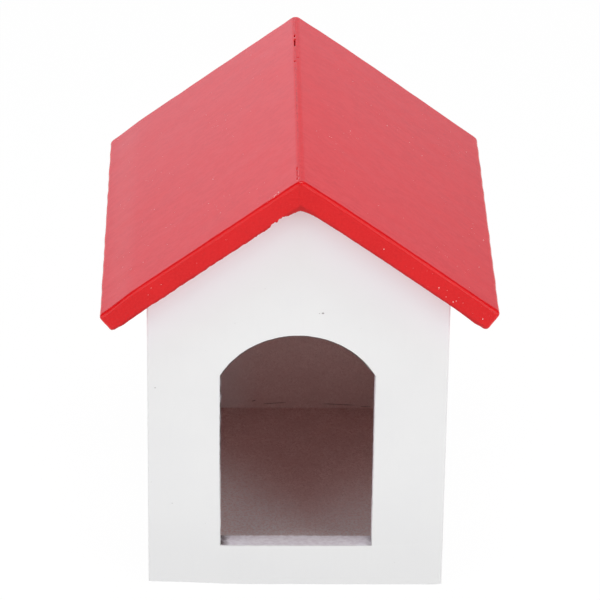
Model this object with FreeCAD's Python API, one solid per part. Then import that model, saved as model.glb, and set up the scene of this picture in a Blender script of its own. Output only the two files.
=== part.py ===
import FreeCAD, Part
import math
import os

# A small house of painted boards: two gabled end walls, two side walls and a floor make a box,
# and two roof boards meet in a mitre over it. The joints are glued and held by headless steel pins,
# which are set below the surface, filled over and painted.
#
# Millimetres, +Z up. The origin is on the ground under the middle of the house, and the doorway
# faces -Y.

# Box
BODY_WIDTH = 130.0  # over the outer faces of the side walls
BODY_DEPTH = 154.0  # over the outer faces of the end walls
BOARD = 9.0  # thickness of the walls and of the floor
GABLE_HEIGHT = 191.5  # ground to the peak of the end walls
WALL_EASE = 0.8  # rounding of the outer upright edges

# Roof
ROOF_PITCH = math.radians(36.6)
ROOF_BOARD = 10.0  # thickness
ROOF_LENGTH = 176.0  # along the ridge
EAVE_REACH = 86.0  # ridge line to the upper arris of the eave, level, before rounding
CREST_ROUND = 2.0  # rounding along the ridge
ROOF_EASE = 1.2  # rounding of the upper arrises and of the eave corners

# Doorway
DOOR_WIDTH = 67.0
SILL_HEIGHT = 20.0
DOOR_TOP = 125.0
ARCH_RADIUS = 38.4  # a little more than half the width, so the arch leaves a shoulder at each side

# Pins
PIN_RADIUS = 0.6
PIN_LENGTH = 22.0
RIDGE_PIN_LENGTH = 16.0
PIN_TIP_LENGTH = 1.2
PIN_TIP_RADIUS = 0.15
PIN_DEPTH = 1.0  # from the surface to the pin's head, filled
WALL_PIN_HEIGHTS = (22.0, 72.0, 122.0)
FLOOR_PIN_OFFSET = 25.0  # pins from the end walls into the floor, either side of the middle
FLOOR_PIN_SPREAD = 90.0  # between the two pins from each side wall into the floor
GABLE_PIN_RUNS = (18.0, 44.0)  # level distance from the ridge to the pins over the end walls
EAVE_PIN_STEPS = (-44.0, 0.0, 44.0)  # along the ridge, the pins over each side wall
RIDGE_PIN_COUNT = 4
RIDGE_PIN_SPACING = 36.0  # between neighbouring pins along the ridge
RIDGE_PIN_RUN = 3.4  # level distance from the ridge to the pins that cross the mitre

HALF_WIDTH = BODY_WIDTH / 2
HALF_DEPTH = BODY_DEPTH / 2
HALF_ROOF = ROOF_LENGTH / 2
SLOPE = math.tan(ROOF_PITCH)
RIDGE_HEIGHT = GABLE_HEIGHT + ROOF_BOARD / math.cos(ROOF_PITCH)
CLOSE = 1e-6

SIDES = {"left": -1, "right": 1}
ENDS = {"front": -1, "back": 1}


def under_roof(x):
    """Height of the underside of the roof at a distance x from the ridge line."""
    return GABLE_HEIGHT - abs(x) * SLOPE


def over_roof(x):
    """Height of the upper side of the roof at a distance x from the ridge line."""
    return RIDGE_HEIGHT - abs(x) * SLOPE


def extruded(edges, start, end):
    """The solid between two planes of constant Y, whose outline is the closed loop of edges at Y 0."""
    face = Part.Face(Part.Wire(edges))
    face.translate(FreeCAD.Vector(0, start, 0))
    return face.extrude(FreeCAD.Vector(0, end - start, 0))


def outline(points):
    """Straight edges through (x, z) points at Y 0, closed."""
    corners = [FreeCAD.Vector(x, 0, z) for x, z in points]
    return [
        Part.makeLine(corner, following)
        for corner, following in zip(corners, corners[1:] + corners[:1])
    ]


def pin(head, direction, length=PIN_LENGTH):
    """A headless pin driven along direction, with head the point where it entered the surface."""
    way = FreeCAD.Vector(*direction).normalize()
    top = FreeCAD.Vector(*head) + way * PIN_DEPTH
    shank_length = length - PIN_TIP_LENGTH
    shank = Part.makeCylinder(PIN_RADIUS, shank_length, top, way)
    tip = Part.makeCone(
        PIN_RADIUS, PIN_TIP_RADIUS, PIN_TIP_LENGTH, top + way * shank_length, way
    )
    return shank.fuse(tip).removeSplitter()


def doorway():
    """The space of the doorway: upright jambs, and an arch whose circle is wider than the door."""
    half = DOOR_WIDTH / 2
    centre = DOOR_TOP - ARCH_RADIUS
    shoulder = centre + math.sqrt(ARCH_RADIUS**2 - half**2)
    left_foot = FreeCAD.Vector(-half, 0, SILL_HEIGHT)
    right_foot = FreeCAD.Vector(half, 0, SILL_HEIGHT)
    left_shoulder = FreeCAD.Vector(-half, 0, shoulder)
    right_shoulder = FreeCAD.Vector(half, 0, shoulder)
    crown = FreeCAD.Vector(0, 0, DOOR_TOP)
    edges = [
        Part.makeLine(left_foot, right_foot),
        Part.makeLine(right_foot, right_shoulder),
        Part.Arc(right_shoulder, crown, left_shoulder).toShape(),
        Part.makeLine(left_shoulder, left_foot),
    ]
    return extruded(edges, -HALF_DEPTH - BOARD, -HALF_DEPTH + 2 * BOARD)


def upright_outer_edges(wall, end):
    """The two upright edges of an end wall that show at the corners of the house."""
    return [
        edge
        for edge in wall.Edges
        if all(
            abs(abs(v.X) - HALF_WIDTH) < CLOSE and abs(v.Y - end * HALF_DEPTH) < CLOSE
            for v in edge.Vertexes
        )
    ]


def end_wall(end):
    """A gabled end wall, whose sloping edges carry the roof."""
    points = [
        (-HALF_WIDTH, 0),
        (HALF_WIDTH, 0),
        (HALF_WIDTH, under_roof(HALF_WIDTH)),
        (0, GABLE_HEIGHT),
        (-HALF_WIDTH, under_roof(HALF_WIDTH)),
    ]
    faces = sorted((end * HALF_DEPTH, end * (HALF_DEPTH - BOARD)))
    wall = extruded(outline(points), *faces)
    return wall.makeFillet(WALL_EASE, upright_outer_edges(wall, end))


def side_wall(side):
    """A side wall between the end walls, with its top bevelled to the roof's pitch."""
    inner = HALF_WIDTH - BOARD
    points = [
        (side * inner, 0),
        (side * HALF_WIDTH, 0),
        (side * HALF_WIDTH, under_roof(HALF_WIDTH)),
        (side * inner, under_roof(inner)),
    ]
    return extruded(outline(points), -HALF_DEPTH + BOARD, HALF_DEPTH - BOARD)


def floor_board():
    """The floor, let in between all four walls and level with their lower edges."""
    width = BODY_WIDTH - 2 * BOARD
    depth = BODY_DEPTH - 2 * BOARD
    return Part.makeBox(
        width, depth, BOARD, FreeCAD.Vector(-width / 2, -depth / 2, 0)
    )


def roof_edges_to_ease(board, side):
    """The eave's upper arris and the edges of both board ends, less the mitre and the underside."""

    def in_mitre(point):
        return abs(point.x) < CLOSE

    def on_underside(point):
        return abs(point.z - under_roof(point.x)) < CLOSE

    def at_an_end(edge):
        return all(abs(abs(v.Y) - HALF_ROOF) < CLOSE for v in edge.Vertexes) and (
            edge.Vertexes[0].Y * edge.Vertexes[-1].Y > 0
        )

    def on_eave_arris(point):
        return abs(point.x - side * EAVE_REACH) < CLOSE

    chosen = []
    for edge in board.Edges:
        middle = edge.valueAt((edge.FirstParameter + edge.LastParameter) / 2)
        if in_mitre(middle) or on_underside(middle):
            continue
        if at_an_end(edge) or on_eave_arris(middle):
            chosen.append(edge)
    return chosen


def roof_board(side):
    """A roof board: mitred at the ridge, rounded along its crest, cut square at the eave."""
    sine = math.sin(ROOF_PITCH)
    cosine = math.cos(ROOF_PITCH)
    crest_centre = RIDGE_HEIGHT - CREST_ROUND / cosine

    def on_crest(angle):
        x = side * CREST_ROUND * math.sin(angle)
        return FreeCAD.Vector(x, 0, crest_centre + CREST_ROUND * math.cos(angle))

    under_peak = FreeCAD.Vector(0, 0, GABLE_HEIGHT)
    eave_top = FreeCAD.Vector(side * EAVE_REACH, 0, over_roof(EAVE_REACH))
    eave_foot = eave_top - FreeCAD.Vector(side * sine, 0, cosine) * ROOF_BOARD
    crest = on_crest(0)
    crest_end = on_crest(ROOF_PITCH)
    edges = [
        Part.makeLine(under_peak, crest),
        Part.Arc(crest, on_crest(ROOF_PITCH / 2), crest_end).toShape(),
        Part.makeLine(crest_end, eave_top),
        Part.makeLine(eave_top, eave_foot),
        Part.makeLine(eave_foot, under_peak),
    ]
    board = extruded(edges, -HALF_ROOF, HALF_ROOF)
    return board.makeFillet(ROOF_EASE, roof_edges_to_ease(board, side))


def end_wall_pins(end):
    """Pins through an end wall into the ends of the side walls and of the floor."""
    face = end * HALF_DEPTH
    side_centre = HALF_WIDTH - BOARD / 2
    places = [(side * side_centre, z) for side in SIDES.values() for z in WALL_PIN_HEIGHTS]
    places += [(side * FLOOR_PIN_OFFSET, BOARD / 2) for side in SIDES.values()]
    return [pin((x, face, z), (0, -end, 0)) for x, z in places]


def side_wall_pins(side):
    """Pins through a side wall into the edge of the floor."""
    face = side * HALF_WIDTH
    return [
        pin((face, end * FLOOR_PIN_SPREAD / 2, BOARD / 2), (-side, 0, 0))
        for end in ENDS.values()
    ]


def roof_pins(side):
    """Pins square to a roof board into both gables, and upright ones into the side wall."""
    down = (-side * math.sin(ROOF_PITCH), 0, -math.cos(ROOF_PITCH))
    gable = HALF_DEPTH - BOARD / 2
    eave = HALF_WIDTH - BOARD / 2
    square = [
        pin((side * run, end * gable, over_roof(run)), down)
        for end in ENDS.values()
        for run in GABLE_PIN_RUNS
    ]
    upright = [
        pin((side * eave, y, over_roof(eave)), (0, 0, -1))
        for y in EAVE_PIN_STEPS
    ]
    return square + upright


def ridge_pins():
    """Pins across the mitre, driven square to one roof board and the other in turn."""
    made = []
    for number in range(RIDGE_PIN_COUNT):
        side = 1 if number % 2 else -1
        y = (number - (RIDGE_PIN_COUNT - 1) / 2) * RIDGE_PIN_SPACING
        head = (side * RIDGE_PIN_RUN, y, over_roof(RIDGE_PIN_RUN))
        down = (-side * math.sin(ROOF_PITCH), 0, -math.cos(ROOF_PITCH))
        made.append(pin(head, down, RIDGE_PIN_LENGTH))
    return made


def all_boards():
    """Every board by name, without the pin holes."""
    boards = {
        "front_wall": end_wall(ENDS["front"]).cut(doorway()),
        "back_wall": end_wall(ENDS["back"]),
        "floor_board": floor_board(),
    }
    for name, side in SIDES.items():
        boards[name + "_wall"] = side_wall(side)
        boards[name + "_roof_board"] = roof_board(side)
    return boards


def all_pins():
    """Every group of pins by name."""
    groups = {name + "_wall_pins": end_wall_pins(end) for name, end in ENDS.items()}
    for name, side in SIDES.items():
        groups[name + "_wall_pins"] = side_wall_pins(side)
        groups[name + "_roof_pins"] = roof_pins(side)
    groups["ridge_pins"] = ridge_pins()
    return groups


def pinned(board, pins):
    """The board with a hole for each pin that meets it."""
    met = [one for one in pins if board.distToShape(one)[0] < CLOSE]
    return board.cut(met) if met else board


os.makedirs("parts", exist_ok=True)
pin_groups = all_pins()
every_pin = [one for group in pin_groups.values() for one in group]
for name, board in all_boards().items():
    pinned(board, every_pin).exportStep(f"parts/{name}.step")
for name, group in pin_groups.items():
    Part.makeCompound(group).exportStep(f"parts/{name}.step")
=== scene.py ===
import functools
import math

import bmesh
import bpy
import numpy as np
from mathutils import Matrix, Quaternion, Vector


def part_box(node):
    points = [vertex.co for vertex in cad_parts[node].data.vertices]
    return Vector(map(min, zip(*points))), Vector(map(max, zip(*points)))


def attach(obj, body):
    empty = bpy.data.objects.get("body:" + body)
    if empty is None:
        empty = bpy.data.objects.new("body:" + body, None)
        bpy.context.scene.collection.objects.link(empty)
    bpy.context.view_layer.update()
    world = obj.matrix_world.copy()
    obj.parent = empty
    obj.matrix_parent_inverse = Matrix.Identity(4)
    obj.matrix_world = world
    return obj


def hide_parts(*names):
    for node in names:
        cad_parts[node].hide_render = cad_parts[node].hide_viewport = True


# The looks of a small house of painted fibreboard: white walls, a red roof with rounded arrises,
# and a bare inside that shows through the doorway.
#
# Metres, +Z up. The ground is at Z 0, the ridge runs along Y, and the doorway faces -Y. Every place
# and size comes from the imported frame, and the lengths named below are only those of surface detail.

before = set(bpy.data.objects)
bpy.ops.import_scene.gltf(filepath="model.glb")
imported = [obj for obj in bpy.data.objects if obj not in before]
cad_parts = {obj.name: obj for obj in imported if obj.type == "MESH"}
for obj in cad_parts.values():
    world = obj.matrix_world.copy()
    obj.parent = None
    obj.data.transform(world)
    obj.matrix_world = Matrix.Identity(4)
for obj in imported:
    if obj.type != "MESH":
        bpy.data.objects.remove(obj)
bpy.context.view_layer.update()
MM = 0.001
SEED = 7
TINY = 1e-9

# Arrises
ARRIS = 1.8 * MM  # the roof boards' upper edges
UNDER_ARRIS = 0.65 * MM  # their lower edges, except at the eaves
EAVE_ARRIS = 2.3 * MM  # their lower edges at the eaves
BACK_CORNER = 2.8 * MM  # their back corners, seen square to the board
CREST_ARRIS = 3.2 * MM  # the ridge, rounder under its paint than the boards are cut
CORNER_EASE = 0.8 * MM  # the upright corners of the house
EDGE_EASE = 0.3 * MM  # the other painted edges of the walls
REAR_EASE = 0.2 * MM  # the doorway's edge inside the house
JOINT_EASE = 0.12 * MM  # edges that meet at a glued joint
EASE_STEPS = 5  # facets from the middle of a roof board's arris to each side
TURN_STEPS = 4  # facets of a wall's arris

# How far the house is from true
RIGHT_RISE = 1.5 * MM  # how high its right half stands under the roof
RISE_REACH = 18 * MM  # distance from the middle in which most of that rise comes
LEFT_TRIM = 0.6 * MM  # how short the left eave is
LEFT_DROOP = 0.85 * MM  # how low the left eave is
FOOT_WEAR = 1.3 * MM  # how far the foot of the front wall is worn at the left corner
RIDGE_FILL = 1.7 * MM  # filler in the corner under the ridge, in front of the wall
DOOR_FILL = 0.25 * MM  # paint that narrows the doorway, except at its right side and its sill

# Paint and dust on the roof
WAVE = 0.010 * MM
BRUSH_RIDGE = 0.004 * MM
NIB_SIZES = (0.07 * MM, 0.18 * MM)
ROOF_NIBS = 130  # dust and dried paint on the top of each roof board


def points_of(node):
    """The vertices of a CAD node, as rows of x, y, z."""
    return np.array([vertex.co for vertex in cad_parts[node].data.vertices])


# The house, measured on the frame
front_low, front_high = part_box("front_wall")
_, back_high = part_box("back_wall")
_, left_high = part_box("left_wall")
_, floor_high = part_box("floor_board")
BOARD = front_high.y - front_low.y
HALF_WIDTH = front_high.x
INNER_HALF = -left_high.x
FRONT = front_low.y
BACK = back_high.y
GABLE = front_high.z
FLOOR_TOP = floor_high.z

roof_points = points_of("right_roof_board")
SLOPE = (GABLE - left_high.z) / INNER_HALF
PITCH = math.atan(SLOPE)
COSINE, SINE = math.cos(PITCH), math.sin(PITCH)
ROOF_BOARD = COSINE * (roof_points[:, 2] - GABLE + SLOPE * roof_points[:, 0]).max()
ROOF_RUN = (COSINE * roof_points[:, 0] - SINE * (roof_points[:, 2] - GABLE)).max()
HALF_ROOF = roof_points[:, 1].max()
PEAK = -ROOF_BOARD * SLOPE  # the run of the ridge on the top of a roof board

front_points = points_of("front_wall")
around_door = front_points[
    (abs(front_points[:, 0]) < INNER_HALF)
    & (abs(front_points[:, 1] - FRONT) < JOINT_EASE)
    & (front_points[:, 2] > FLOOR_TOP)
    & (front_points[:, 2] < GABLE - BOARD)
]
DOOR_HALF = around_door[:, 0].max()
SILL = around_door[:, 2].min()
CROWN = around_door[:, 2].max()
SHOULDER = around_door[around_door[:, 0] > DOOR_HALF - JOINT_EASE, 2].max()
ARCH_RISE = CROWN - SHOULDER
ARCH_RADIUS = (ARCH_RISE**2 + DOOR_HALF**2) / (2 * ARCH_RISE)


# ---------------------------------------------------------------- shapes in numbers


def ripple(points, wavelength, seed, waves=14):
    """A smooth uneven height, about -1 to 1, with detail near the wavelength, at rows of coordinates."""
    rng = np.random.default_rng(SEED + seed)
    ways = rng.normal(size=(waves, points.shape[1]))
    ways /= np.linalg.norm(ways, axis=1, keepdims=True)
    ways *= rng.uniform(0.7, 1.5, (waves, 1)) * math.tau / np.asarray(wavelength)
    shifts = rng.uniform(0, math.tau, waves)
    return np.cos(points @ ways.T + shifts).sum(1) / math.sqrt(waves)


def smooth(value, start, end):
    """0 before start, 1 after end, and an even S between."""
    share = np.clip((value - start) / (end - start), 0, 1)
    return share * share * (3 - 2 * share)


def bump_at(value, centre, width):
    """1 at the centre, falling to 0 over about the width at both sides."""
    return np.exp(-(((value - centre) / width) ** 2))


def eased(radius):
    """Distances from a sharp edge whose points turn evenly once the edge is rounded to the radius."""
    turns = [math.radians(45 * k / EASE_STEPS) for k in range(EASE_STEPS + 1)]
    return [radius * (1 - math.tan(turn)) for turn in turns]


def stations(start, end, step):
    """Evenly spaced values from start to end, no further apart than step."""
    return np.linspace(start, end, max(2, math.ceil((end - start) / step) + 1))


def joined_stations(*groups):
    """Every value of the groups once, in order."""
    values = np.sort(np.concatenate([np.asarray(group, float) for group in groups]))
    return values[np.concatenate([[True], np.diff(values) > 0.02 * MM])]


# ---------------------------------------------------------------- pieces


def out_of_square(points):
    """Points as the house was really put together: its right half stands a little high under the
    roof, its left eave is a little short and low, and the front wall's lower left corner is worn."""
    x, y, z = points.T
    right = 1 - np.exp(-x.clip(0) / RISE_REACH)
    above_door = smooth(z, CROWN + 3 * MM, CROWN + 17 * MM)
    left = smooth(-x, 20 * MM, HALF_WIDTH) * (y < FRONT + BOARD / 2)
    at_foot = 1 - smooth(z, 0, 6 * MM)
    at_eave = smooth(-x, HALF_WIDTH + 5 * MM, HALF_WIDTH + 19 * MM)
    short = LEFT_TRIM * (0.7 - 0.3 * y / HALF_ROOF)
    height = z + RIGHT_RISE * right * above_door + FOOT_WEAR * left * at_foot - LEFT_DROOP * at_eave
    return np.stack([x + short * at_eave, y, height], -1)


def add_piece(mesh, node, slot, materials):
    """Puts a finished mesh in the scene in the place of its CAD node."""
    places = np.empty(len(mesh.vertices) * 3)
    mesh.vertices.foreach_get("co", places)
    mesh.vertices.foreach_set("co", out_of_square(places.reshape(-1, 3)).ravel())
    mesh.update()
    for material in materials:
        mesh.materials.append(material)
    finish = "bare" if slot == "bare_board" else "painted"
    mesh.name = f"{finish}_{node}"
    piece = bpy.data.objects.new(mesh.name, mesh)
    bpy.context.scene.collection.objects.link(piece)
    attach(piece, "root")
    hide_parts(node)


def grid_points(columns, rows, place):
    """The array of points that place gives for every pair of a column and a row value."""
    across, along = np.meshgrid(columns, rows, indexing="ij")
    return place(across, along)


def joined_sheets(sheets):
    """Points and faces of a closed skin made of sheets, which are arrays of points that share borders."""
    faces, count = [], 0
    for sheet in sheets:
        index = np.arange(sheet.shape[0] * sheet.shape[1]).reshape(sheet.shape[:2]) + count
        count += index.size
        corners = (index[:-1, :-1], index[1:, :-1], index[1:, 1:], index[:-1, 1:])
        faces.append(np.stack(corners, -1).reshape(-1, 4))
    points = np.concatenate([sheet.reshape(-1, 3) for sheet in sheets])
    _, first, same = np.unique(
        np.round(points / (0.001 * MM)), axis=0, return_index=True, return_inverse=True
    )
    quads = same.reshape(-1)[np.concatenate(faces)].tolist()
    # Where points fell together, a quad is a triangle or nothing.
    distinct = [list(dict.fromkeys(quad)) for quad in quads]
    return points[first], [face for face in distinct if len(face) > 2]


# Roof boards. A point of a board is (run, y, depth): run goes down the slope from the peak of the
# walls, and depth goes up through the board's thickness from its underside.

# Where the lower front arris of the left board is broken away: from, to, and how deep
LEFT_CHIPS = (
    (6.3 * MM, 15.6 * MM, 1.05 * MM),
    (78.2 * MM, 80.0 * MM, 0.45 * MM),
)
# What is left standing in them: place, width and share of the depth
LEFT_TEETH = (
    (8.4 * MM, 0.5 * MM, 0.45),
    (12.1 * MM, 0.55 * MM, 0.85),
    (14.4 * MM, 0.5 * MM, 0.25),
)
# Cracks and pits of the filler along the ridge: distance from the ridge, y from and to, half width, depth
LEFT_CRACKS = (
    (0.62 * MM, 53.8 * MM, 61.5 * MM, 0.20 * MM, 1.10 * MM),
    (0.62 * MM, 63.6 * MM, 66.6 * MM, 0.18 * MM, 0.60 * MM),
    (0.62 * MM, 36.2 * MM, 37.6 * MM, 0.36 * MM, 0.50 * MM),
    (1.25 * MM, -84.5 * MM, -72.5 * MM, 0.26 * MM, 0.38 * MM),
)
RIGHT_CRACKS = ((0.60 * MM, 40.0 * MM, 41.4 * MM, 0.42 * MM, 0.40 * MM),)
# The stretches of the ridge that hold them, where the mesh is finer
CRACKED = ((34.0 * MM, 68.5 * MM), (-85.5 * MM, -72.0 * MM))
# The larger grains on the boards' front ends: run, depth and size in millimetres
LEFT_FRONT_NIBS = ((76.0, 5.1, 0.22), (73.0, 7.0, 0.15), (68.6, 5.8, 0.15), (55.2, 2.7, 0.11))
RIGHT_FRONT_NIBS = (
    (40.5, 4.7, 0.26),
    (56.0, 4.9, 0.15),
    (61.5, 7.4, 0.13),
    (70.5, 4.1, 0.20),
    (75.6, 2.5, 0.15),
    (79.5, 2.4, 0.26),
    (80.3, 3.5, 0.23),
    (83.2, 4.5, 0.20),
    (94.5, 3.7, 0.22),
)


def rounded_board(points):
    """Points of a sharp-edged board, moved in where its arrises and its back corners are rounded."""
    run, y, depth = points.T
    at_top = smooth(depth, 0.35 * ROOF_BOARD, 0.65 * ROOF_BOARD)
    at_eave = smooth(run, ROOF_RUN - 7 * MM, ROOF_RUN - 3 * MM)
    low = UNDER_ARRIS + (EAVE_ARRIS - UNDER_ARRIS) * at_eave
    radius = (low + (ARRIS - low) * at_top) * (1 + 0.10 * ripple(points, 12 * MM, 1))

    corner = np.maximum(radius, np.where(y > 0, BACK_CORNER, 0))
    middle = np.stack(
        [np.minimum(run, ROOF_RUN - corner), np.clip(y, corner - HALF_ROOF, HALF_ROOF - corner)], -1
    )
    aside = points[:, :2] - middle
    inset = (corner - radius) / np.maximum(np.linalg.norm(aside, axis=1), TINY)
    inner = np.column_stack([
        middle + aside * np.minimum(inset, 1)[:, None],
        np.clip(depth, radius, ROOF_BOARD - radius),
    ])
    out = points - inner
    reach = np.linalg.norm(out, axis=1)
    rounded = inner + out * (radius / np.maximum(reach, TINY))[:, None]
    return np.where(reach[:, None] < TINY, points, rounded)


def crest_drop(level):
    """How far the rounded ridge lies under a sharp one, at level distances from it."""
    inside = np.minimum(level, CREST_ARRIS * SINE)
    return CREST_ARRIS / COSINE - inside * SLOPE - np.sqrt(CREST_ARRIS**2 - inside**2)


def crack_depth(level, y, cracks):
    """How deep the cracks and pits along the ridge go at each place."""
    wander = 0.12 * MM * ripple(y[:, None], 4 * MM, 5)
    depth = np.zeros_like(y)
    for place, start, end, half, deep in cracks:
        along = smooth(y, start, start + 0.8 * MM) * (1 - smooth(y, end - 0.8 * MM, end))
        depth += deep * bump_at(level, place + wander, half) * along
    return depth


def chipped(run, chips, teeth):
    """How far the lower front arris is broken back at each place along the board."""
    along = np.stack([run, np.zeros_like(run)], -1)
    ragged = (0.15 if chips else 0.05) * MM
    depth = ragged * (ripple(along, 5 * MM, 31) + 0.8 * ripple(along, 1.6 * MM, 32))
    rough = 1 + 0.18 * ripple(along, 2.5 * MM, 33)
    for start, end, deep in chips:
        broken = smooth(run, start, start + 2.2 * MM) * (1 - smooth(run, end - 0.5 * MM, end))
        depth = depth + deep * broken * rough
    for centre, width, share in teeth:
        depth = depth * (1 - share * bump_at(run, centre, width))
    return depth


def shaped_board(points, chips, teeth, cracks):
    """Turns points of a sharp-edged board into distance from the ridge, y and z of the painted one."""
    rounded = rounded_board(points)
    run, y, depth = rounded.T

    # The mitre stays in its plane where the ends are rounded.
    level = points[:, 0] * COSINE + points[:, 2] * SINE
    run = run + (points[:, 2] - depth) * SLOPE * np.exp(-level / (2 * MM))
    level = np.maximum(run * COSINE + depth * SINE, 0)

    # Waves in the paint, and ridges that follow the brush down the slope.
    near_top = smooth(depth, 0.8 * ROOF_BOARD, 0.98 * ROOF_BOARD)
    off_crest = smooth(level, 1.5 * MM, 5 * MM)
    waves = WAVE * (ripple(rounded, 18 * MM, 2) - 2.5)
    ridges = BRUSH_RIDGE * ripple(rounded * (0.12, 1, 0.12), 6 * MM, 3)
    depth = depth + (waves + ridges) * near_top * off_crest

    height = GABLE - run * SINE + depth * COSINE
    height -= (crest_drop(level) + crack_depth(level, y, cracks)) * near_top

    # The filler in the corner under the ridge, and the lower front arris.
    filled = (1 - smooth(depth, 0, 3 * MM)) * (1 - smooth(y, FRONT - 2 * MM, FRONT - 0.5 * MM))
    height -= RIDGE_FILL * np.exp(-level / (3 * MM)) * filled
    at_arris = 1 - smooth(depth, 0, 3.2 * MM)
    at_front = 1 - smooth(y, -HALF_ROOF + 0.8 * MM, -HALF_ROOF + 3 * MM)
    height += chipped(run, chips, teeth) * at_arris * at_front
    return level, y, height


def roof_columns():
    """Places along the slope, closer at the crest, over the broken arris and at the eave."""
    crest = PEAK + stations(0, 1.2 * CREST_ARRIS * SINE, 0.2 * MM) / COSINE
    broken = stations(crest[-1] + 0.6 * MM, 18 * MM, 0.5 * MM)
    plain = stations(18.5 * MM, ROOF_RUN - EAVE_ARRIS - 0.4 * MM, 1.5 * MM)
    eave = [ROOF_RUN - distance for size in (ARRIS, EAVE_ARRIS) for distance in eased(size)]
    return joined_stations(crest, broken, plain, eave)


def roof_rows():
    """Places along the ridge, closer at both ends and beside the cracks."""
    ends = np.array(eased(ARRIS) + eased(BACK_CORNER))
    reach = HALF_ROOF - BACK_CORNER - 0.4 * MM
    plain = stations(-reach, reach, 1.6 * MM)
    close = [stations(start, end, 0.5 * MM) for start, end in CRACKED]
    return joined_stations(ends - HALF_ROOF, HALF_ROOF - ends, plain, *close)


def roof_layers():
    """Places through the thickness, closer at both arrises."""
    lower = eased(UNDER_ARRIS) + eased(EAVE_ARRIS)
    upper = [ROOF_BOARD - distance for distance in eased(ARRIS)]
    broken = stations(0.8 * MM, 3.4 * MM, 0.65 * MM)
    plain = stations(4.2 * MM, ROOF_BOARD - ARRIS - 0.5 * MM, 1.3 * MM)
    return joined_stations(lower, broken, plain, upper)


def roof_place(side, run, y, depth, faults=((), (), ())):
    """Points of a finished roof board in the frame, for arrays of board points."""
    flat = np.stack([np.ravel(run), np.ravel(y), np.ravel(depth)], -1)
    level, y, height = shaped_board(flat, *faults)
    return np.stack([side * level, y, height], -1).reshape(*np.shape(run), 3)


def grain_shape():
    """Points and triangles of a small round grain of radius 1."""
    bm = bmesh.new()
    bmesh.ops.create_icosphere(bm, subdivisions=2, radius=1)
    points = np.array([vertex.co for vertex in bm.verts])
    faces = np.array([[vertex.index for vertex in face.verts] for face in bm.faces])
    bm.free()
    return points, faces


def roof_grains(side, spots):
    """Points and triangles of dust and dried paint: flattened grains half sunk in the roof's paint."""
    turn = np.array(Quaternion((0, 1, 0), side * PITCH).to_matrix())
    points, faces = grain_shape()
    runs, ys, depths, sizes = np.array(spots).T
    flat = np.where(ys[:, None] <= -HALF_ROOF, (1, 0.5, 1), (1, 1.2, 0.5))
    grains = (points * (flat * sizes[:, None])[:, None]) @ turn.T
    grains += roof_place(side, runs, ys, depths)[:, None]
    shifts = np.arange(len(spots))[:, None, None] * len(points)
    return grains.reshape(-1, 3), (faces + shifts).reshape(-1, 3)


def scattered_nibs(seed):
    """Random grains over the top of a roof board, in loose clusters."""
    rng = np.random.default_rng(SEED + seed)
    clusters = rng.uniform((8 * MM, -70 * MM), (ROOF_RUN - 8 * MM, 60 * MM), (9, 2))
    smallest, largest = NIB_SIZES
    spots = []
    for _ in range(ROOF_NIBS):
        if rng.random() < 0.55:
            run, y = clusters[rng.integers(len(clusters))] + rng.normal(0, 5 * MM, 2)
        else:
            run = rng.uniform(3 * MM, ROOF_RUN - 3 * MM)
            y = rng.uniform(-HALF_ROOF + 3 * MM, HALF_ROOF - 3 * MM)
        size = smallest + (largest - smallest) * rng.random() ** 2.5
        if 2 * MM < run < ROOF_RUN - 2 * MM and abs(y) < HALF_ROOF - 2 * MM:
            spots.append((run, y, ROOF_BOARD, size))
    return spots


def front_nibs(seed, start, end, count, known):
    """Grains on the front end of a roof board: random ones between two places, and the known ones."""
    rng = np.random.default_rng(SEED + seed)
    smallest, largest = NIB_SIZES
    sizes = smallest + (largest - smallest) * rng.random(count) ** 3
    runs = rng.uniform(start, end, count)
    depths = rng.uniform(1.5 * MM, ROOF_BOARD - 2 * MM, count)
    random_ones = [(run, -HALF_ROOF, depth, size) for run, depth, size in zip(runs, depths, sizes)]
    return random_ones + [(run * MM, -HALF_ROOF, depth * MM, size * MM) for run, depth, size in known]


def arris_nibs(seed, start, end, count):
    """A patch of grains on the top of a roof board, close behind its front arris."""
    rng = np.random.default_rng(SEED + seed)
    runs = rng.uniform(start, end, count)
    ys = -HALF_ROOF + ARRIS * rng.uniform(0.6, 2.4, count)
    sizes = rng.uniform(*NIB_SIZES, count)
    return [(run, y, ROOF_BOARD, size) for run, y, size in zip(runs, ys, sizes)]


def roof_sheets(side, faults):
    """The six sides of a roof board as arrays of points."""
    columns, rows, layers = roof_columns(), roof_rows(), roof_layers()

    def run_at(column, depth):
        under = ROOF_RUN * (column - PEAK) / (ROOF_RUN - PEAK)
        share = depth / ROOF_BOARD
        return under + (column - under) * share

    def place(run, y, depth):
        return roof_place(side, run, y, depth, faults)

    faces = [
        grid_points(columns, rows, lambda c, y: place(run_at(c, depth), y, np.full_like(c, depth)))
        for depth in (0, ROOF_BOARD)
    ]
    edges = [
        grid_points(layers, rows, lambda d, y: place(run_at(column, d), y, d))
        for column in (PEAK, ROOF_RUN)
    ]
    ends = [
        grid_points(columns, layers, lambda c, d: place(run_at(c, d), np.full_like(c, y), d))
        for y in (-HALF_ROOF, HALF_ROOF)
    ]
    return faces + edges + ends


def is_ceiling(middles):
    """Which faces of a roof board, given by their middles, are its bare underside inside the walls."""
    x, y, z = middles.T
    between_walls = (abs(x) < (INNER_HALF + HALF_WIDTH) / 2) & (abs(y) < BACK - BOARD / 2)
    return between_walls & (z + SLOPE * abs(x) < GABLE + ROOF_BOARD / 2)


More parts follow.
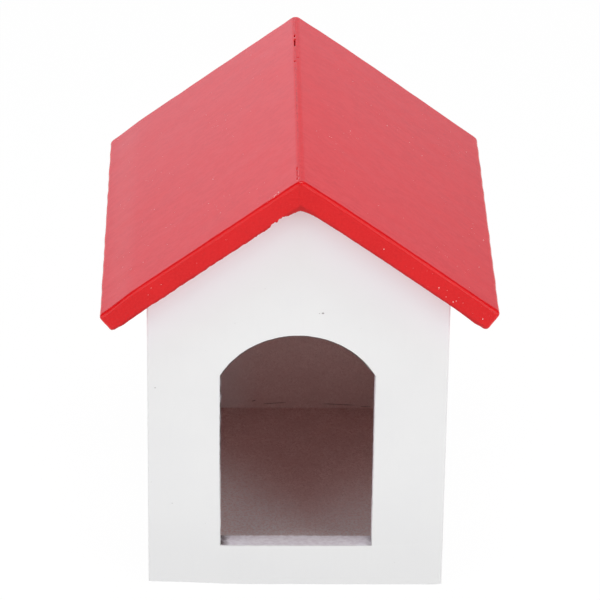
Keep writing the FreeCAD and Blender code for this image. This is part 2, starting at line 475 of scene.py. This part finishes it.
def roof_board(node, side, materials, faults, spots):
    """A roof board as one closed mesh, with its rounded arrises, its faults and its grains. The
    materials are its paint, its grains' and the bare one of its underside inside the walls."""
    points, skin = joined_sheets(roof_sheets(side, faults))
    grains, triangles = roof_grains(side, spots)
    mesh = bpy.data.meshes.new(node)
    mesh.from_pydata(
        np.concatenate([points, grains]).tolist(), [], skin + (triangles + len(points)).tolist()
    )
    middles = np.array([points[face].mean(0) for face in skin])
    paint_and_bare = np.where(is_ceiling(middles), 2, 0)
    kinds = np.concatenate([paint_and_bare, np.ones(len(triangles))]).astype(np.int32)
    mesh.polygons.foreach_set("material_index", kinds)
    bm = bmesh.new()
    bm.from_mesh(mesh)
    bmesh.ops.recalc_face_normals(bm, faces=bm.faces)
    bm.to_mesh(mesh)
    bm.free()
    mesh.shade_smooth()
    mesh.set_sharp_from_angle(angle=math.radians(50))
    add_piece(mesh, node, "red_painted_board", materials)


# Flat boards. An outline is a closed loop of (x, z) points with the board at its left. A rim is such a
# loop, the rounding of its front and back arrises at each point, and a function that gives the number
# of the material of each face of the board's edge.

# Chips at the doorway's left edge: height, depth and half width
DOOR_CHIPS = ((76 * MM, 0.55 * MM, 1.0 * MM), (73.2 * MM, 0.30 * MM, 0.7 * MM))
ARCH_PARTS = 56


def divided(loop, step):
    """The loop with points added along its straight stretches."""
    made = []
    for corner, following in zip(loop, np.roll(loop, -1, axis=0)):
        parts = max(1, round(np.linalg.norm(following - corner) / step))
        made += [corner + (following - corner) * k / parts for k in range(parts)]
    return np.array(made)


def inward(loop):
    """For each point of a loop, the way into the board that moves both its edges in by one unit."""
    ahead = np.roll(loop, -1, axis=0) - loop
    ahead /= np.linalg.norm(ahead, axis=1, keepdims=True)
    normal = np.stack([-ahead[:, 1], ahead[:, 0]], -1)
    before = np.roll(normal, 1, axis=0)
    both = normal + before
    return both / (1 + (normal * before).sum(1))[:, None]


def edge_rings(loop, start, end, front_ease, back_ease):
    """Rings of points round a board's edge from its front face to its back face, arrises rounded."""
    way = inward(loop)
    turns = [math.radians(90 * k / TURN_STEPS) for k in range(TURN_STEPS + 1)]
    rings = []
    for ease, face, sign in ((front_ease, start, 1), (back_ease, end, -1)):
        for turn in turns[::sign]:
            flat = loop + way * (ease * (1 - math.sin(turn)))[:, None]
            y = face + sign * ease * (1 - math.cos(turn))
            rings.append(np.stack([flat[:, 0], y, flat[:, 1]], -1))
    return rings


def flat_board(node, slot, rims, start, end, materials):
    """A board with its faces square to Y as one closed mesh, from the rims of its outline and any
    hole. Its front face has the first material and its back face the second."""
    bm = bmesh.new()
    borders = ([], [])
    for loop, front_ease, back_ease, kind_of in rims:
        rings = [
            [bm.verts.new(point) for point in ring]
            for ring in edge_rings(loop, start, end, front_ease, back_ease)
        ]
        for number, (ring, following) in enumerate(zip(rings, rings[1:])):
            for k in range(len(ring)):
                after = (k + 1) % len(ring)
                face = bm.faces.new((ring[k], ring[after], following[after], following[k]))
                face.smooth = True
                face.material_index = kind_of(number, ring[k].co)
        for border, ring in zip(borders, (rings[0], rings[-1])):
            border += [bm.edges.get((a, b)) for a, b in zip(ring, ring[1:] + ring[:1])]
    for number, border in enumerate(borders):
        filled = bmesh.ops.triangle_fill(bm, use_beauty=True, edges=border)
        for face in filled["geom"]:
            if isinstance(face, bmesh.types.BMFace):
                face.material_index = number
                face.smooth = False
    bmesh.ops.recalc_face_normals(bm, faces=bm.faces)
    mesh = bpy.data.meshes.new(node)
    bm.to_mesh(mesh)
    bm.free()
    mesh.set_sharp_from_angle(angle=math.radians(35))
    add_piece(mesh, node, slot, materials)


def gable_outline():
    """The outline of an end wall."""
    shoulder = GABLE - HALF_WIDTH * SLOPE
    corners = [
        (-HALF_WIDTH, 0),
        (HALF_WIDTH, 0),
        (HALF_WIDTH, shoulder),
        (0, GABLE),
        (-HALF_WIDTH, shoulder),
    ]
    return divided(np.array(corners), 2 * MM)


def gable_ease(outline):
    """The rounding of an end wall's painted arris, worn at its lower right corner."""
    upright = abs(abs(outline[:, 0]) - HALF_WIDTH) < JOINT_EASE
    wear = 1 + 0.25 * ripple(outline, 9 * MM, 41)
    at_corner = bump_at(np.hypot(outline[:, 0] - HALF_WIDTH, outline[:, 1]), 0, 3 * MM)
    return np.where(upright, CORNER_EASE, EDGE_EASE) * wear + 0.5 * MM * at_corner


def doorway_outline():
    """The outline of the doorway, clockwise because the board is outside it."""
    half_turn = math.asin(DOOR_HALF / ARCH_RADIUS)
    centre = CROWN - ARCH_RADIUS
    turns = np.linspace(-half_turn, half_turn, ARCH_PARTS + 1)
    arch = np.stack([ARCH_RADIUS * np.sin(turns), centre + ARCH_RADIUS * np.cos(turns)], -1)
    feet = np.array([(DOOR_HALF, SILL), (-DOOR_HALF, SILL)])
    return divided(np.concatenate([arch, feet]), 0.7 * MM)


def doorway_rim():
    """The rim of the doorway as it was cut and painted by hand."""
    door = doorway_outline()
    x, z = door.T
    ease = EDGE_EASE * (1 + 0.3 * ripple(door, 4 * MM, 42))
    for height, deep, half in DOOR_CHIPS:
        ease = ease + deep * bump_at(np.hypot(x + DOOR_HALF, z - height), 0, half)
    fill = DOOR_FILL * (1 - smooth(x, DOOR_HALF - 2 * MM, DOOR_HALF - 0.5 * MM))
    filled = door - inward(door) * (fill * (z > SILL + JOINT_EASE))[:, None]
    uneven = 0.06 * MM * ripple(filled, 7 * MM, 43)
    loop = filled + inward(filled) * uneven[:, None]
    return loop, ease, np.full(len(door), REAR_EASE), lambda number, place: 2 if number >= TURN_STEPS else 0


def end_wall(node, start, materials, is_front):
    """A gabled wall, painted outside and bare inside. Its materials are those of its front face and its
    back face, and at the front that of the doorway's cut edge."""
    outline = gable_outline()
    painted, at_joint = gable_ease(outline), np.full(len(outline), JOINT_EASE)
    if is_front:
        rims = [(outline, painted, at_joint, lambda number, place: 0), doorway_rim()]
    else:
        rims = [(outline, at_joint, painted, lambda number, place: 1)]
    flat_board(node, "white_painted_board", rims, start, start + BOARD, materials)


def side_wall(node, side, materials):
    """A side wall, painted outside and bare inside, with the hairline of its joint at each end."""
    corners = [
        (side * INNER_HALF, 0),
        (side * HALF_WIDTH, 0),
        (side * HALF_WIDTH, GABLE - HALF_WIDTH * SLOPE),
        (side * INNER_HALF, GABLE - INNER_HALF * SLOPE),
    ]
    loop = divided(np.array(corners[::side]), 3 * MM)
    ease = JOINT_EASE * (1 + 0.4 * ripple(loop, 8 * MM, 44 + side))
    middle = side * (INNER_HALF + HALF_WIDTH) / 2
    rim = (loop, ease, ease, lambda number, place: 0 if (place.x - middle) * side > 0 else 1)
    flat_board(node, "white_painted_board", [rim], FRONT + BOARD, BACK - BOARD, materials)


def floor_board(node, material):
    """The floor, bare on top and underneath."""
    corners = [
        (-INNER_HALF, 0),
        (INNER_HALF, 0),
        (INNER_HALF, FLOOR_TOP),
        (-INNER_HALF, FLOOR_TOP),
    ]
    loop = divided(np.array(corners), 3 * MM)
    ease = np.full(len(loop), JOINT_EASE)
    rim = (loop, ease, ease, lambda number, place: 0)
    flat_board(node, "bare_board", [rim], FRONT + BOARD, BACK - BOARD, [material])


# ---------------------------------------------------------------- materials

RED_DEEP = (0.663, 0.0038, 0.0062)
RED_LIGHT = (0.705, 0.0050, 0.0078)
RED_STROKE = (0.655, 0.0042, 0.0068)
RED_MOTTLE = (0.60, 0.004, 0.006)
RED_GRAIN = (0.74, 0.016, 0.018)
RED_HAZE = (0.735, 0.0165, 0.0185)
RED_SPECK = (0.74, 0.10, 0.10)
RED_ARRIS_SHADE = (0.38, 0.003, 0.005)
RED_SEAM = (0.52, 0.003, 0.005)
RED_CRACK_SHADE = (0.03, 0.002, 0.003)
NIB_RED = (0.78, 0.16, 0.16)
NIB_PALE = (0.92, 0.74, 0.72)

WHITE_DEEP = (0.817, 0.817, 0.821)
WHITE_LIGHT = (0.833, 0.833, 0.833)
WHITE_STREAK = (0.79, 0.79, 0.795)
WHITE_FLECK = (0.45, 0.42, 0.40)
WHITE_LOW_SHADE = (0.70, 0.70, 0.705)
WHITE_COOL_SHADE = (0.855, 0.860, 0.905)
CUT_EDGE_SHADE = (0.05, 0.03, 0.03)
DARK_SPECK = (0.16, 0.13, 0.13)
THIN_LIGHT = (0.90, 0.885, 0.945)
THIN_DEEP = (0.79, 0.755, 0.82)
THIN_CORNER_DARK = (0.22, 0.19, 0.20)
THIN_REAR = (0.50, 0.40, 0.38)

FIBRE_DEEP = (0.70, 0.48, 0.46)
FIBRE_LIGHT = (0.93, 0.72, 0.70)
FIBRE_CLOUD = (0.74, 0.52, 0.50)
FIBRE_FLECK = (0.30, 0.19, 0.17)
FIBRE_MARK = (0.10, 0.05, 0.045)
# White spray, which also stands in for painted light inside the house
SPRAY_AND_LIGHT = (0.93, 0.92, 0.94)
STEEL_DEEP = (0.50, 0.50, 0.49)
STEEL_LIGHT = (0.62, 0.62, 0.60)

CRACK_OFFSET = 0.47 * MM  # how far left of the middle the ridge's open joint lies
# Where it stands open: y of its middle, half lengths to full shade and to none, and the shade
OPEN_CRACKS = ((57.6 * MM, 2.2 * MM, 3.9 * MM, 0.93), (65.1 * MM, 0.3 * MM, 1.3 * MM, 0.6))
# Specks in the paint of the front wall: x, z, size and strength
FRONT_SPECKS = (
    (10.4 * MM, 136.0 * MM, 0.75 * MM, 0.75),
    (8.9 * MM, 135.9 * MM, 0.40 * MM, 0.45),
    (-61.6 * MM, 99.4 * MM, 0.55 * MM, 0.40),
    (-54.4 * MM, 41.6 * MM, 0.45 * MM, 0.30),
)
# Hairline marks low on the inside of the back wall: x, z, half length, tilt and half width
BACK_MARKS = (
    (-8.0 * MM, 11.5 * MM, 6.4 * MM, 0.07, 0.33 * MM),
    (22.8 * MM, 10.9 * MM, 9.0 * MM, -0.05, 0.36 * MM),
    (35.4 * MM, 9.9 * MM, 3.0 * MM, 0.03, 0.30 * MM),
    (-17.9 * MM, 12.8 * MM, 1.1 * MM, 0.35, 0.45 * MM),
)


class Graph:
    """A node tree in the making, of a material or a world. A value is a socket of it or a plain
    number or colour."""

    def __init__(self, owner, coordinate="Object"):
        owner.use_nodes = True
        self.owner = owner
        self.coordinate = coordinate
        self.nodes = owner.node_tree.nodes
        self.links = owner.node_tree.links
        self.nodes.clear()

    @functools.cached_property
    def place(self):
        return self.add("ShaderNodeTexCoord").outputs[self.coordinate]

    def add(self, kind, values=None, **settings):
        """A new node with its settings, and with its inputs linked or set, by name or number."""
        node = self.nodes.new(kind)
        for name, setting in settings.items():
            setattr(node, name, setting)
        for key, value in (values or {}).items():
            socket = node.inputs[key]
            if isinstance(value, bpy.types.NodeSocket):
                self.links.new(value, socket)
            else:
                socket.default_value = (*value, 1) if socket.type == "RGBA" else value
        return node

    def coordinates(self):
        return self.add("ShaderNodeSeparateXYZ", {0: self.place}).outputs

    def stretched(self, *factors):
        return self.add("ShaderNodeMapping", {"Vector": self.place, "Scale": factors}).outputs[0]

    def noise(self, size, detail=3.0, roughness=0.55, place=None, distortion=0.0):
        node = self.add("ShaderNodeTexNoise", {
            "Vector": place or self.place,
            "Scale": 1 / size,
            "Detail": detail,
            "Roughness": roughness,
            "Distortion": distortion,
        })
        return node.outputs["Fac"]

    def cells(self, size, place=None):
        node = self.add("ShaderNodeTexVoronoi", {"Vector": place or self.place, "Scale": 1 / size})
        return node.outputs["Distance"]

    def ranged(self, value, low, high, to_low=0.0, to_high=1.0):
        """An even S from to_low to to_high, as the value goes from low to high."""
        node = self.add("ShaderNodeMapRange", {
            "Value": value,
            "From Min": low,
            "From Max": high,
            "To Min": to_low,
            "To Max": to_high,
        }, interpolation_type="SMOOTHSTEP")
        return node.outputs[0]

    def faded(self, value, low, high, most=1.0):
        """The most while the value is under low, and 0 over high."""
        return self.ranged(value, low, high, most, 0.0)

    def math(self, operation, *values):
        return self.add("ShaderNodeMath", dict(enumerate(values)), operation=operation).outputs[0]

    def plus(self, *values):
        return functools.reduce(lambda first, second: self.math("ADD", first, second), values)

    def times(self, *values):
        return functools.reduce(lambda first, second: self.math("MULTIPLY", first, second), values)

    def minus(self, first, second):
        return self.math("SUBTRACT", first, second)

    def distance(self, value, centre=0.0):
        return self.math("ABSOLUTE", self.minus(value, centre))

    def mixed(self, share, first, second):
        """Two colours, mixed by the share of the second."""
        return self.add("ShaderNodeMix", {0: share, 6: first, 7: second}, data_type="RGBA").outputs[2]

    def blended(self, share, first, second):
        """Two numbers, mixed by the share of the second."""
        return self.add("ShaderNodeMix", {0: share, 2: first, 3: second}).outputs[0]

    def bumped(self, height, depth, normal=None):
        values = {"Height": height, "Distance": depth, "Strength": 1.0}
        if normal is not None:
            values["Normal"] = normal
        return self.add("ShaderNodeBump", values).outputs[0]

    def finished(self, **values):
        """The material, with a principled shader of these values."""
        named = {name.replace("_", " "): value for name, value in values.items()}
        shader = self.add("ShaderNodeBsdfPrincipled", named)
        self.add("ShaderNodeOutputMaterial", {"Surface": shader.outputs[0]})
        return self.owner


def material_graph(name):
    """The graph of a new material."""
    return Graph(bpy.data.materials.new(name))


def on_wall_front(g, y):
    """1 on the front wall's outer face and arris, and 0 behind them."""
    return g.faded(y, FRONT + 0.6 * MM, FRONT + 1.2 * MM)


def on_roof_end(g, y):
    """1 on the roof's front end and arris, and 0 behind them."""
    return g.faded(y, -HALF_ROOF + 0.6 * MM, -HALF_ROOF + 1.6 * MM)


def under_slope(g, x, z):
    """The height of a place, if it slid along the roof's slope to the middle of the house."""
    return g.plus(z, g.times(g.distance(x), SLOPE))


def crack_shade(g):
    """Painted shade in the joint at the ridge, where it stands open behind the middle of the roof."""
    x, y, _ = g.coordinates()
    aside = g.plus(x, g.times(g.noise(3 * MM), 0.3 * MM), CRACK_OFFSET)
    near = g.faded(g.distance(aside), 0.04 * MM, 0.22 * MM)
    along = g.plus(*(
        g.faded(g.distance(y, middle), full, none, shade) for middle, full, none, shade in OPEN_CRACKS
    ))
    return g.times(near, along)


def ridge_seam(g):
    """The rough left border of the filler along the ridge, in front of the open joint."""
    x, y, _ = g.coordinates()
    wander = g.times(g.noise(2.2 * MM, 3.0, 0.7), 1.6 * MM)
    near = g.faded(g.distance(g.plus(x, wander), 0.2 * MM), 0.12 * MM, 0.42 * MM, 0.9)
    broken = g.ranged(g.noise(1.6 * MM, 3.0, 0.6), 0.42, 0.54)
    front_end = g.ranged(y, -60 * MM, -20 * MM, 0.35, 1.0)
    back_end = g.ranged(y, 28 * MM, 40 * MM, 1.0, 0.5)
    return g.times(near, broken, front_end, back_end)


def lower_arris_shade(g):
    """Painted shade along the lower arris of the roof's front end, where it turns down."""
    x, y, z = g.coordinates()
    fall = g.math("EXPONENT", g.times(g.math("MAXIMUM", x, 0.0), -1 / RISE_REACH))
    rise = g.times(g.minus(1.0, fall), RIGHT_RISE)
    uneven = g.times(g.noise(3.0 * MM), 1.4 * MM)
    depth = g.minus(g.minus(g.minus(under_slope(g, x, z), rise), GABLE), uneven)
    return g.times(g.faded(depth, -0.4 * MM, 1.5 * MM, 0.62), on_roof_end(g, y))


def red_paint():
    """Brushed red gloss, a little uneven in colour and in sheen."""
    g = material_graph("red_gloss_paint")
    strokes = g.noise(6.0 * MM, place=g.stretched(0.14, 1.0, 0.14))
    mottle = g.noise(1.8 * MM)
    cloud = g.noise(16 * MM, 4.0)
    fine = g.noise(1.0 * MM, 3.0, 0.7)
    waves = g.noise(2.6 * MM, 3.0, 0.6, g.stretched(0.5, 1.0, 0.5))
    behind = g.minus(1.0, on_roof_end(g, g.coordinates()[1]))
    seam = ridge_seam(g)

    colour = g.mixed(g.ranged(cloud, 0.3, 0.7), RED_DEEP, RED_LIGHT)
    for share, over in (
        (g.ranged(strokes, 0.52, 0.75, 0.0, 0.5), RED_STROKE),
        (g.ranged(mottle, 0.50, 0.72, 0.0, 0.50), RED_MOTTLE),
        (g.ranged(fine, 0.40, 0.66, 0.0, 0.45), RED_GRAIN),
        (g.times(g.ranged(waves, 0.42, 0.60, 0.0, 0.62), behind), RED_HAZE),
        (g.faded(g.cells(2.6 * MM), 0.03, 0.07, 0.45), RED_SPECK),
        # painted shade on the lower arris, which faces down
        (lower_arris_shade(g), RED_ARRIS_SHADE),
        (seam, RED_SEAM),
        # painted shade in the open joint at the ridge
        (crack_shade(g), RED_CRACK_SHADE),
    ):
        colour = g.mixed(share, colour, over)

    sheen = g.plus(g.times(strokes, 0.6), g.times(cloud, 0.4))
    roughness = g.ranged(sheen, 0.35, 0.65, 0.13, 0.20)
    normal = g.bumped(strokes, 0.0110 * MM)
    normal = g.bumped(mottle, 0.0150 * MM, normal)
    normal = g.bumped(fine, 0.0045 * MM, normal)
    normal = g.bumped(g.minus(1.0, seam), 0.07 * MM, normal)
    return g.finished(Base_Color=colour, Roughness=roughness, IOR=1.35, Normal=normal)


def nib_paint():
    """Pale grains of dust caught in the red paint."""
    g = material_graph("dust_in_red_paint")
    blend = g.noise(4.0 * MM)
    colour = g.mixed(g.ranged(blend, 0.40, 0.65), NIB_RED, NIB_PALE)
    return g.finished(Base_Color=colour, Roughness=0.5, IOR=1.4, Normal=g.bumped(blend, 0.02 * MM))


def doorway_cut_edge_shade(g):
    """How much of a dark line shows at the arris round the doorway, most on the arch: partly the bare cut
    edge, partly painted shade.
    """
    x, y, z = g.coordinates()
    side = g.minus(g.distance(x), DOOR_HALF)
    rise = g.math("MAXIMUM", g.minus(z, CROWN - ARCH_RADIUS), 0.0)
    reach = g.math("SQRT", g.plus(g.times(x, x), g.times(rise, rise)))
    off = g.math("MAXIMUM", side, g.minus(reach, ARCH_RADIUS))
    uneven = g.times(g.noise(3.0 * MM, 3.0, 0.6), 0.35 * MM)
    line = g.faded(g.plus(off, uneven), 0.28 * MM, 0.46 * MM, 0.97)
    low_end = g.plus(g.times(x, 0.8), SILL + 40 * MM)
    height = g.ranged(g.minus(z, low_end), 0.0, 42 * MM, 0.12, 1.0)
    above = g.ranged(z, SILL, SILL + 1.0 * MM)
    return g.times(line, height, on_wall_front(g, y), above)


def with_front_specks(g, colour):
    """The colour with the specks in the front wall's paint."""
    x, y, z = g.coordinates()
    for across, height, size, strength in FRONT_SPECKS:
        off = g.add("ShaderNodeCombineXYZ", {0: g.minus(x, across), 1: g.times(g.minus(z, height), 1.4)})
        away = g.add("ShaderNodeVectorMath", {0: off.outputs[0]}, operation="LENGTH").outputs["Value"]
        speck = g.faded(away, 0.4 * size, size, strength)
        colour = g.mixed(g.times(speck, on_wall_front(g, y)), colour, DARK_SPECK)
    return colour


def white_paint():
    """Matt white with faint roller texture and a few specks, and painted shade: darker low down, and a cool
    tint of shade under the roof.
    """
    g = material_graph("white_matt_paint")
    x, _, z = g.coordinates()
    stipple = g.noise(0.9 * MM, 3.0, 0.6)
    streaks = g.noise(3.0 * MM, 2.0, 0.5, g.stretched(1.0, 1.0, 0.12))
    colour = g.mixed(g.ranged(g.noise(30 * MM, 3.0, 0.5), 0.3, 0.7), WHITE_DEEP, WHITE_LIGHT)
    for share, over in (
        (g.ranged(streaks, 0.55, 0.8, 0.0, 0.15), WHITE_STREAK),
        (g.faded(g.cells(7.5 * MM), 0.012, 0.030, 0.55), WHITE_FLECK),
        # dark line round the doorway: bare cut edge and painted shade
        (doorway_cut_edge_shade(g), CUT_EDGE_SHADE),
        # painted shade: the walls darker towards the ground
        (g.faded(z, 0.0, 60 * MM, 0.35), WHITE_LOW_SHADE),
        # painted shade: a cool tint where the walls lie in shade under the roof
        (g.ranged(under_slope(g, x, z), GABLE - 34 * MM, GABLE - 4 * MM, 0.0, 0.8), WHITE_COOL_SHADE),
    ):
        colour = g.mixed(share, colour, over)
    colour = with_front_specks(g, colour)
    roughness = g.ranged(stipple, 0.3, 0.7, 0.52, 0.62)
    normal = g.bumped(stipple, 0.012 * MM)
    normal = g.bumped(streaks, 0.010 * MM, normal)
    return g.finished(Base_Color=colour, Roughness=roughness, IOR=1.45, Normal=normal)


def thin_white_paint():
    """One thin coat on the cut edge of the doorway, darker towards the sill's corners."""
    g = material_graph("thin_white_paint")
    x, y, z = g.coordinates()
    mottle = g.noise(1.5 * MM, 3.0, 0.6, g.stretched(0.7, 1.0, 1.0))
    colour = g.mixed(g.ranged(mottle, 0.35, 0.68), THIN_LIGHT, THIN_DEEP)
    left = g.faded(x, -DOOR_HALF + 0.8 * MM, -DOOR_HALF + 5 * MM)
    right = g.ranged(x, DOOR_HALF - 3 * MM, DOOR_HALF - 0.6 * MM, 0.0, 0.45)
    low = g.faded(z, SILL + 0.4 * MM, SILL + 3 * MM)
    # darker towards the sill's corners, where the jambs meet it
    corner_dark = g.times(g.math("MAXIMUM", left, right), low, g.ranged(mottle, 0.35, 0.6, 0.4, 1.0))
    colour = g.mixed(corner_dark, colour, THIN_CORNER_DARK)
    inner = FRONT + BOARD
    uneven = g.plus(y, g.times(mottle, 1.6 * MM))
    rear = g.ranged(uneven, inner + 0.1 * MM, inner + 0.9 * MM, 0.0, 0.75)
    colour = g.mixed(rear, colour, THIN_REAR)
    return g.finished(Base_Color=colour, Roughness=0.65, IOR=1.45, Normal=g.bumped(mottle, 0.05 * MM))


def floor_spray_and_light(g, colour, _):
    """The colour with white spray that has settled on the floor behind the doorway, and that also stands in
    for painted light: lightest near the doorway, reaching further in towards its sides.
    """
    x, y, _ = g.coordinates()
    right = g.minus(x, 6 * MM)
    aside = g.math("MAXIMUM", g.times(right, 0.9), g.times(right, -1.3))
    uneven = g.plus(g.minus(y, aside), g.times(g.noise(7 * MM), 12 * MM))
    grain = g.ranged(g.noise(1.1 * MM, 3.0, 0.7), 0.35, 0.65, 0.50, 1.28)
    # white spray that also stands in for painted light behind the doorway
    return g.mixed(g.times(g.faded(uneven, FRONT + BOARD, 4 * MM, 0.82), grain), colour, SPRAY_AND_LIGHT)


def back_wall_marks_and_light(g, colour, cloud):
    """The colour with the back wall's hairline marks, and white spray at its left that stands in for
    painted light there.
    """
    x, _, z = g.coordinates()
    # painted light: white spray that lightens the left of the back wall
    left = g.faded(g.plus(x, g.times(cloud, 8 * MM)), -29 * MM, -8 * MM, 0.42)
    colour = g.mixed(left, colour, SPRAY_AND_LIGHT)
    for centre, height, half_length, tilt, half_width in BACK_MARKS:
        off = g.minus(x, centre)
        away = g.distance(z, g.plus(g.times(off, tilt), height))
        across = g.faded(away, half_width * 0.3, half_width, 0.5)
        along = g.faded(g.distance(off), half_length * 0.5, half_length)
        colour = g.mixed(g.times(across, along), colour, FIBRE_MARK)
    return colour


def bare_board(name, spread=0.24, cover=None):
    """Raw fibreboard: fine fibres within a spread of shades, small flecks, and any cover on them."""
    g = material_graph(name)
    fibres = g.noise(1.1 * MM, 4.0, 0.75, g.stretched(1.0, 0.8, 1.0), 1.2)
    cloud = g.noise(11 * MM, 4.0, 0.6)
    colour = g.mixed(g.ranged(fibres, 0.5 - spread, 0.5 + spread), FIBRE_DEEP, FIBRE_LIGHT)
    colour = g.mixed(g.ranged(cloud, 0.35, 0.65, 0.0, 0.40), colour, FIBRE_CLOUD)
    flecks = g.faded(g.cells(1.7 * MM, g.stretched(1.0, 0.7, 1.0)), 0.04, 0.12, 0.55)
    colour = g.mixed(flecks, colour, FIBRE_FLECK)
    if cover:
        colour = cover(g, colour, cloud)
    return g.finished(Base_Color=colour, Roughness=0.85, IOR=1.4, Normal=g.bumped(fibres, 0.03 * MM))


def pin_steel():
    """Drawn steel wire."""
    g = material_graph("drawn_steel")
    lines = g.noise(0.3 * MM, 2.0, 0.5, g.stretched(1.0, 1.0, 0.1))
    colour = g.mixed(g.ranged(lines, 0.3, 0.7), STEEL_DEEP, STEEL_LIGHT)
    roughness = g.ranged(lines, 0.3, 0.7, 0.28, 0.42)
    normal = g.bumped(lines, 0.01 * MM)
    return g.finished(Base_Color=colour, Metallic=1.0, Roughness=roughness, Normal=normal)


# ---------------------------------------------------------------- stage

TABLE_HALF = 6.0
TABLE_GLOW = 0.955  # the light it gives itself
TABLE_GREY = 0.06  # the share of other light it throws back

VIEW_ELEVATION = math.radians(27.5)
VIEW_TURN = math.radians(1.18)
VIEW_ROLL = math.radians(0.76)
VIEW_DISTANCE = 1.647
VIEW_LENS = 231.4
AIM = Vector((0.49 * MM, FRONT, 142.4 * MM))

ROOM_LIGHT = 0.13
HORIZON_LIGHT = 1.20
BACKDROP_LIGHT = 0.92  # at the middle
BACKDROP_LEAN = -0.46  # from left to right
BACKDROP_EDGE = 0.902  # the way's Y where it has that light
BACKDROP_FALL = 8.0  # how fast it fades from there
BACKDROP_TINT = (1.0, 0.96, 1.09)

# Softboxes: name, azimuth, elevation, size and power
SOFTBOXES = (
    ("top_softbox", 0, 88, 0.8, 9.6),
    ("right_softbox", 48, 26, 1.0, 4.7),
    ("left_softbox", -48, 26, 1.0, 4.0),
)
SOFTBOX_DISTANCE = 1.3
SOFTBOX_AIM = Vector((0, 0, 0.1))


def table_top():
    """A pale lit table, which throws light up and takes only a faint shadow."""
    g = material_graph("pale_table")
    glow = g.add("ShaderNodeEmission", {"Color": (1, 1, 1), "Strength": TABLE_GLOW})
    face = g.add("ShaderNodeBsdfDiffuse", {"Color": (TABLE_GREY, TABLE_GREY, TABLE_GREY)})
    both = g.add("ShaderNodeAddShader", {0: glow.outputs[0], 1: face.outputs[0]})
    g.add("ShaderNodeOutputMaterial", {"Surface": both.outputs[0]})
    return g.owner


def add_table():
    """The ground the house stands on, which is not part of it."""
    corners = [(-1, -1), (1, -1), (1, 1), (-1, 1)]
    mesh = bpy.data.meshes.new("table")
    mesh.from_pydata([(x * TABLE_HALF, y * TABLE_HALF, 0) for x, y in corners], [], [range(4)])
    mesh.materials.append(table_top())
    table = bpy.data.objects.new("table", mesh)
    bpy.context.scene.collection.objects.link(table)


def add_camera():
    """From the front and well above, with a long lens and a slight turn and roll."""
    way = Vector((
        math.cos(VIEW_ELEVATION) * math.sin(VIEW_TURN),
        math.cos(VIEW_ELEVATION) * math.cos(VIEW_TURN),
        -math.sin(VIEW_ELEVATION),
    ))
    data = bpy.data.cameras.new("camera")
    data.sensor_width = 36
    data.lens = VIEW_LENS
    data.clip_end = 50
    camera = bpy.data.objects.new("camera", data)
    camera.location = AIM - way * VIEW_DISTANCE
    turn = way.to_track_quat("-Z", "Y") @ Quaternion((0, 0, 1), VIEW_ROLL)
    camera.rotation_euler = turn.to_euler()
    bpy.context.scene.collection.objects.link(camera)
    bpy.context.scene.camera = camera


def add_room():
    """Soft light from all round: a bright backdrop behind the house, and a band round the horizon.
    Here x, y and z are those of a way of length 1, so y is 1 straight behind the house."""
    world = bpy.data.worlds.new("studio")
    bpy.context.scene.world = world
    g = Graph(world, "Generated")
    x, y, z = g.coordinates()
    fall = g.plus(g.times(y, BACKDROP_FALL), 1 - BACKDROP_FALL * BACKDROP_EDGE)
    lean = g.plus(g.times(x, BACKDROP_LEAN), BACKDROP_LIGHT)
    backdrop = g.math("MAXIMUM", g.times(fall, lean), ROOM_LIGHT)
    behind = g.ranged(y, 0.2, 0.7)
    low = g.faded(z, 0.17, 0.38)
    sides = g.ranged(g.distance(x), 0.15, 0.55, 0.78, 1.10)
    ahead = g.faded(y, -0.75, -0.50)
    gap = g.blended(ahead, 1.0, g.ranged(z, 0.05, 0.10, 0.45, 1.0))
    around = g.blended(low, ROOM_LIGHT, g.times(sides, gap, HORIZON_LIGHT))
    background = g.add("ShaderNodeBackground", {
        "Color": g.mixed(behind, (1, 1, 1), BACKDROP_TINT),
        "Strength": g.blended(behind, around, backdrop),
    })
    g.add("ShaderNodeOutputWorld", {"Surface": background.outputs[0]})


def add_softbox(name, azimuth, elevation, size, power):
    """A square soft light aimed at the middle of the house. Azimuth 0 is in front, and 90 at the right."""
    a, e = math.radians(azimuth), math.radians(elevation)
    way = Vector((math.sin(a) * math.cos(e), -math.cos(a) * math.cos(e), math.sin(e)))
    data = bpy.data.lights.new(name, "AREA")
    data.shape = "SQUARE"
    data.size = size
    data.energy = power
    light = bpy.data.objects.new(name, data)
    light.location = SOFTBOX_AIM + way * SOFTBOX_DISTANCE
    light.rotation_euler = (-way).to_track_quat("-Z", "Y").to_euler()
    light.visible_camera = False
    bpy.context.scene.collection.objects.link(light)


# ---------------------------------------------------------------- the house

bare = bare_board("bare_fibreboard")
roof_materials = [red_paint(), nib_paint(), bare]
white = white_paint()

roof_board(
    "left_roof_board", -1, roof_materials, (LEFT_CHIPS, LEFT_TEETH, LEFT_CRACKS),
    scattered_nibs(11)
    + front_nibs(12, 30 * MM, ROOF_RUN - 4 * MM, 3, LEFT_FRONT_NIBS)
    + arris_nibs(13, 3.5 * MM, 10 * MM, 22),
)
roof_board(
    "right_roof_board", 1, roof_materials, ((), (), RIGHT_CRACKS),
    scattered_nibs(21) + front_nibs(22, 52 * MM, ROOF_RUN - 3 * MM, 12, RIGHT_FRONT_NIBS),
)
marked_and_lit = bare_board("marked_lit_fibreboard", cover=back_wall_marks_and_light)
end_wall("front_wall", FRONT, [white, bare, thin_white_paint()], True)
end_wall("back_wall", BACK - BOARD, [marked_and_lit, white], False)
side_wall("left_wall", -1, [white, bare])
side_wall("right_wall", 1, [white, bare])
floor_board("floor_board", bare_board("misted_lit_fibreboard", 0.13, floor_spray_and_light))

steel = pin_steel()
for node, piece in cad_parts.items():
    if node.endswith("_pins"):
        piece.data.materials.clear()
        piece.data.materials.append(steel)

add_table()
add_camera()
add_room()
for softbox in SOFTBOXES:
    add_softbox(*softbox)
bpy.context.scene.view_settings.view_transform = "Standard"
